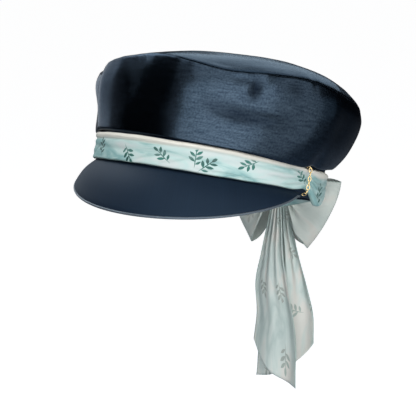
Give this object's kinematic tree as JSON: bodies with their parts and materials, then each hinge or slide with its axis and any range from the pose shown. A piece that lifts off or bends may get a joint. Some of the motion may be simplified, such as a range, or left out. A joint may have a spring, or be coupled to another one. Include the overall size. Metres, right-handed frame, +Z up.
{
  "type": "sailor cap",
  "caption": "Soft satin sailor cap with a domed crown and a stiff sloping peak, and a printed scarf round its headband, held by chain keepers and tied behind in a bow with hanging tails.",
  "frame": {"origin": "middle of the head opening, in the plane of the headband's rim", "axes": "+Z up, -Y to the front where the peak is, +X to the wearer's left; the cap is worn tilted back 16 degrees and leaning 2 degrees to the wearer's left"},
  "size_m": [0.2036, 0.264, 0.305],
  "materials": {
    "satin": "navy satin with a soft sheen",
    "firm_satin": "navy satin over a stiff core, less glossy",
    "printed_chiffon": "thin printed chiffon, pale wash with dark green marks",
    "gold_chain": "polished gold plate"
  },
  "bodies": {
    "root": {"crown_tip": "satin", "crown_side": "satin", "headband": "firm_satin", "peak": "firm_satin", "scarf_band": "printed_chiffon", "keeper_chain_left": "gold_chain", "keeper_chain_right": "gold_chain", "bow_knot": "printed_chiffon", "bow_loop_left": "printed_chiffon", "bow_loop_right": "printed_chiffon", "bow_tail_left": "printed_chiffon", "bow_tail_right": "printed_chiffon"}
  },
  "joints": []
}
